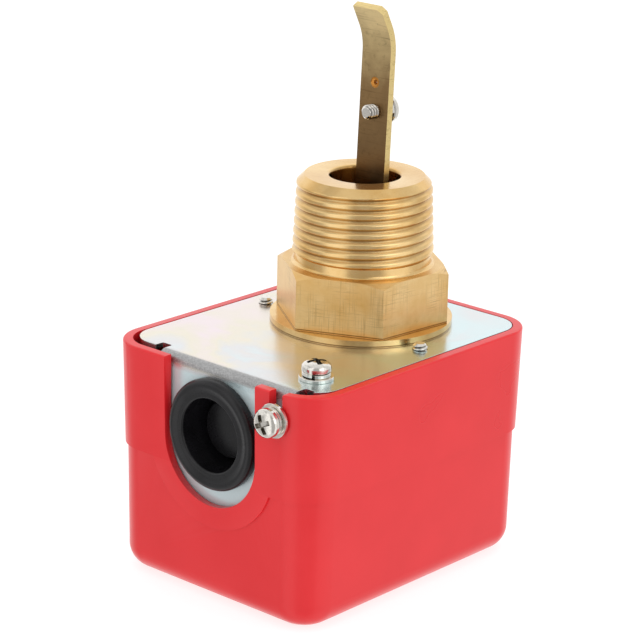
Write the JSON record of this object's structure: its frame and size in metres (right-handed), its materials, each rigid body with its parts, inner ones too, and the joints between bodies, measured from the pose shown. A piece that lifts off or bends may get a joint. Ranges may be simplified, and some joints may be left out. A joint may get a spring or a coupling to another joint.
{
  "type": "paddle flow switch",
  "caption": "Paddle flow switch: threaded brass pipe body on a steel plate, sprung paddle lever, rocker, range spring and microswitch inside a moulded cover with a blind cable grommet.",
  "frame": {"origin": "On the pipe thread's axis, at the foot of the thread, where it runs out into the neck above the hexagon.", "axes": "+Z runs out of the thread towards the paddle lever's tip; -Y points to the cable entry; +X lies across the housing, along the lever's pivot. The switch stands on the base of its cover, as it was pictured."},
  "size_m": [0.064, 0.0844, 0.1311],
  "materials": {
    "brass": "machined forging brass, satin",
    "brass_strip": "rolled strip, dulled",
    "bronze": "thin phosphor bronze, bright",
    "zinc_sheet": "clear passivated zinc plate on steel sheet",
    "zinc_screw": "zinc plated steel",
    "cover_plastic": "moulded, semi-gloss",
    "grommet_rubber": "moulded, satin",
    "rivet_steel": "plain",
    "arm_steel": "zinc plated",
    "pin_steel": "ground",
    "spring_steel": "drawn wire and strip",
    "switch_plastic": "moulded phenolic",
    "plunger_plastic": "moulded",
    "card": "pressed insulating card",
    "terminal_metal": "tin flashed"
  },
  "bodies": {
    "housing": {"brass_body": "brass", "body_lock_nut": "brass", "bellows": "bronze", "mounting_plate": "zinc_sheet", "cable_grommet": "grommet_rubber", "flat_washers": "zinc_screw", "spring_washers": "zinc_screw", "pan_screws": "zinc_screw", "mechanism_frame": "zinc_sheet", "frame_screws": "zinc_screw", "pivot_pin": "pin_steel", "pivot_clips": "pin_steel", "range_spring": "spring_steel", "switch_case": "switch_plastic", "insulator_card": "card", "switch_screws": "zinc_screw", "switch_terminals": "terminal_metal", "terminal_screws": "zinc_screw"},
    "lever_body": {"lever": "brass_strip", "lever_screw": "zinc_screw", "lever_spring_washer": "zinc_screw", "lever_rivets": "rivet_steel", "bellows_cap": "bronze", "rocker": "arm_steel"},
    "leaf_body": {"switch_leaf": "spring_steel"},
    "plunger_body": {"switch_plunger": "plunger_plastic"},
    "range_screw_body": {"range_screw": "zinc_screw"},
    "range_nut_body": {"range_nut": "brass"},
    "cover_body": {"cover": "cover_plastic"}
  },
  "joints": [
    {"name": "lever_pivot", "type": "hinge", "parent": "housing", "child": "lever_body", "pos_m": [0, 0, -0.0368], "axis": [1, 0, 0], "range_deg": [0, 6], "stiffness_Nm_per_rad": 0.6, "springref_deg": -4.58, "deforming": ["range_spring"]},
    {"name": "switch_leaf_lift", "type": "hinge", "parent": "housing", "child": "leaf_body", "pos_m": [-0.00975, 0.01505, -0.0393], "axis": [0, -1, 0], "range_deg": [0, 4.6]},
    {"name": "switch_plunger_lift", "type": "slide", "parent": "housing", "child": "plunger_body", "axis": [0, 0, 1], "range_m": [0, 0.0005]},
    {"name": "range_screw_turn", "type": "hinge", "parent": "housing", "child": "range_screw_body", "pos_m": [0, -0.014, -0.06], "axis": [0, 0, 1], "range_deg": [-1030, 3087]},
    {"name": "range_nut_travel", "type": "slide", "parent": "housing", "child": "range_nut_body", "axis": [0, 0, 1], "range_m": [-0.002, 0.006], "deforming": ["range_spring"]},
    {"name": "cover_lift", "type": "slide", "parent": "housing", "child": "cover_body", "axis": [0, 0, -1], "range_m": [0, 0.07]}
  ],
  "couplings": [
    {"joint": "switch_leaf_lift", "follows": "lever_pivot", "ratio": 0.75},
    {"joint": "switch_plunger_lift", "follows": "lever_pivot", "m_per_rad": 0.0046},
    {"joint": "range_screw_turn", "follows": "range_nut_travel", "rad_per_m": 8976}
  ]
}
